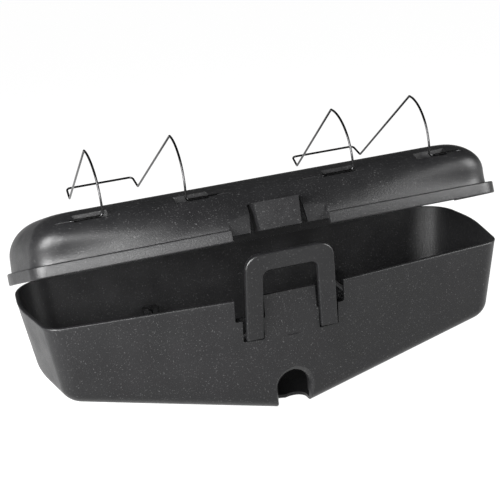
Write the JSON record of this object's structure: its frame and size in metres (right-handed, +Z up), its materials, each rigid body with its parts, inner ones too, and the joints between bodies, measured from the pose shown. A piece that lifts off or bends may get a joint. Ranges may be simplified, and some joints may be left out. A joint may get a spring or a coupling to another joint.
{
  "type": "rodent bait station",
  "caption": "Black plastic bait station with a keeled tub, mouse hole, rear-hinged domed lid, snap-loop latch and wire hangers for a branch or pipe.",
  "frame": {"origin": "middle of the whole station's footprint, at the height of the keel, which is its lowest line", "axes": "+X along the station's length, +Y from the latch at the front to the hinge at the back, +Z up from the keel to the lid"},
  "size_m": [0.3458, 0.1807, 0.1946],
  "materials": {
    "tub": "fine-grained moulded black plastic",
    "lid": "fine-grained moulded black plastic",
    "latch_loop": "slightly glossier moulded black plastic",
    "hanger_left": "bright drawn spring steel wire",
    "hanger_right": "bright drawn spring steel wire",
    "hinge_pin_left": "drawn steel rod",
    "hinge_pin_right": "drawn steel rod",
    "bait_rod_left": "drawn steel rod",
    "bait_rod_right": "drawn steel rod"
  },
  "bodies": {
    "base": {"tub": "tub", "hinge_pin_left": "hinge_pin_left", "hinge_pin_right": "hinge_pin_right", "bait_rod_left": "bait_rod_left", "bait_rod_right": "bait_rod_right"},
    "lid_body": {"lid": "lid"},
    "latch": {"latch_loop": "latch_loop"},
    "wire_left": {"hanger_left": "hanger_left"},
    "wire_right": {"hanger_right": "hanger_right"}
  },
  "joints": [
    {"name": "lid_hinge", "type": "hinge", "parent": "base", "child": "lid_body", "pos_m": [0, 0.05076, 0.091], "axis": [-1, 0, 0], "range_deg": [-18.7, 95]},
    {"name": "latch_flex", "type": "hinge", "parent": "base", "child": "latch", "pos_m": [0, -0.07574, 0.0635], "axis": [1, 0, 0], "range_deg": [0, 20], "stiffness_Nm_per_rad": 0.3},
    {"name": "hanger_left_swing", "type": "hinge", "parent": "lid_body", "child": "wire_left", "pos_m": [0, -0.05023, 0.15601], "axis": [1, 0, 0], "range_deg": [-12, 70]},
    {"name": "hanger_right_swing", "type": "hinge", "parent": "lid_body", "child": "wire_right", "pos_m": [0, -0.05023, 0.15601], "axis": [1, 0, 0], "range_deg": [-10, 70]}
  ]
}
